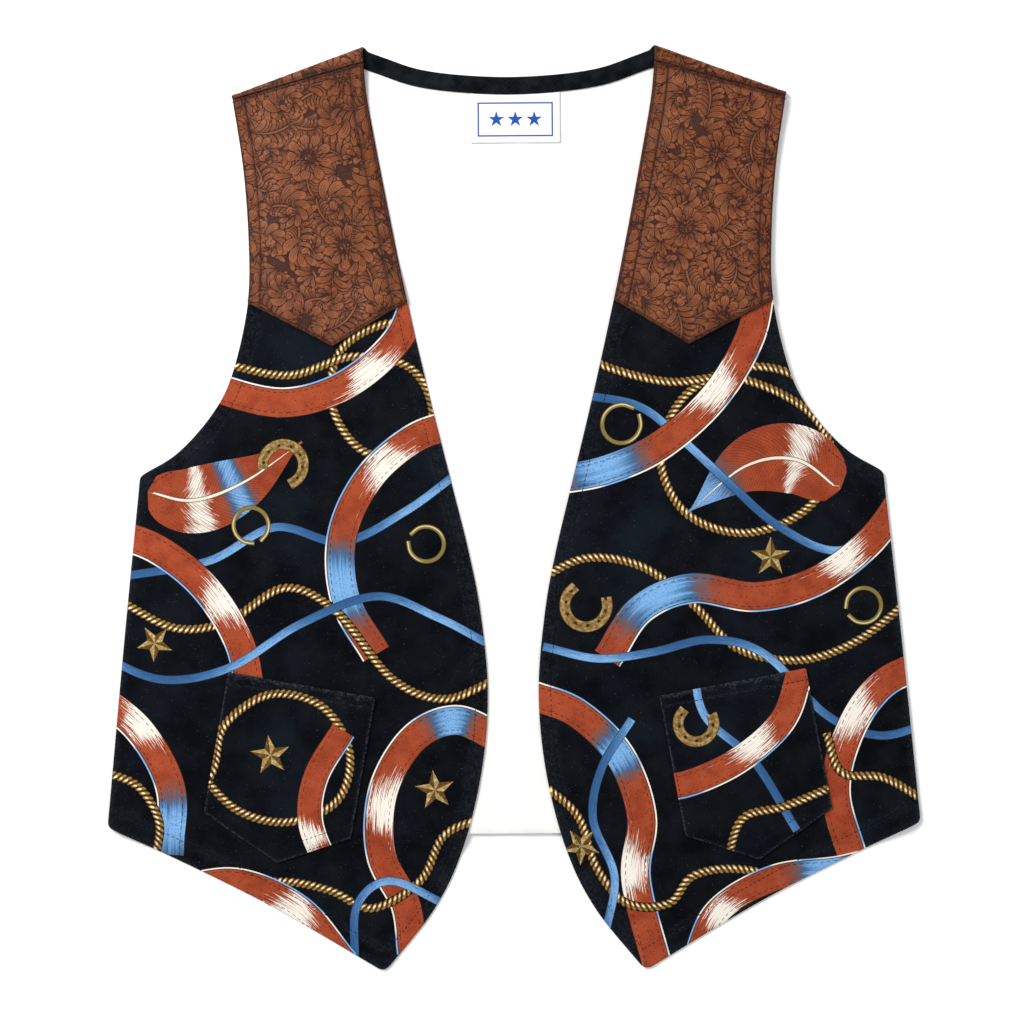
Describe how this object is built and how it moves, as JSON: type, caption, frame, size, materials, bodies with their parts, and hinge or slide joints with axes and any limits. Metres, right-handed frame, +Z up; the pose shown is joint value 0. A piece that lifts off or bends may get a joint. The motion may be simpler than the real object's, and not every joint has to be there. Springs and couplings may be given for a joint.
{
  "type": "western vest",
  "caption": "Western vest lying flat and open: printed twill fronts with pointed hems, tooled leather yokes, pointed patch pockets, pale lining and a bare neck label.",
  "frame": {"origin": "on the surface that the vest lies on, under the middle of the vest", "axes": "+X towards the wearer's left side, +Y from the hem to the shoulders, +Z up from the surface"},
  "size_m": [0.5364, 0.6096, 0.0098],
  "materials": {
    "printed_twill": "dark cotton twill with a large print in rust, white, blue and gold",
    "plain_twill": "plain dark cotton twill",
    "tooled_leather": "brown floral tooled faux leather, satin",
    "lining": "matt off-white lining",
    "facing": "dark satin twill",
    "label": "white woven label, bare of any name"
  },
  "bodies": {
    "root": {"back_panel": "plain_twill", "back_yoke": "tooled_leather", "back_lining": "lining", "neck_facing": "facing", "neck_label": "label", "front_panel_left": "printed_twill", "front_panel_right": "printed_twill", "front_yoke_left": "tooled_leather", "front_yoke_right": "tooled_leather", "pocket_left": "printed_twill", "pocket_right": "printed_twill"}
  },
  "joints": []
}
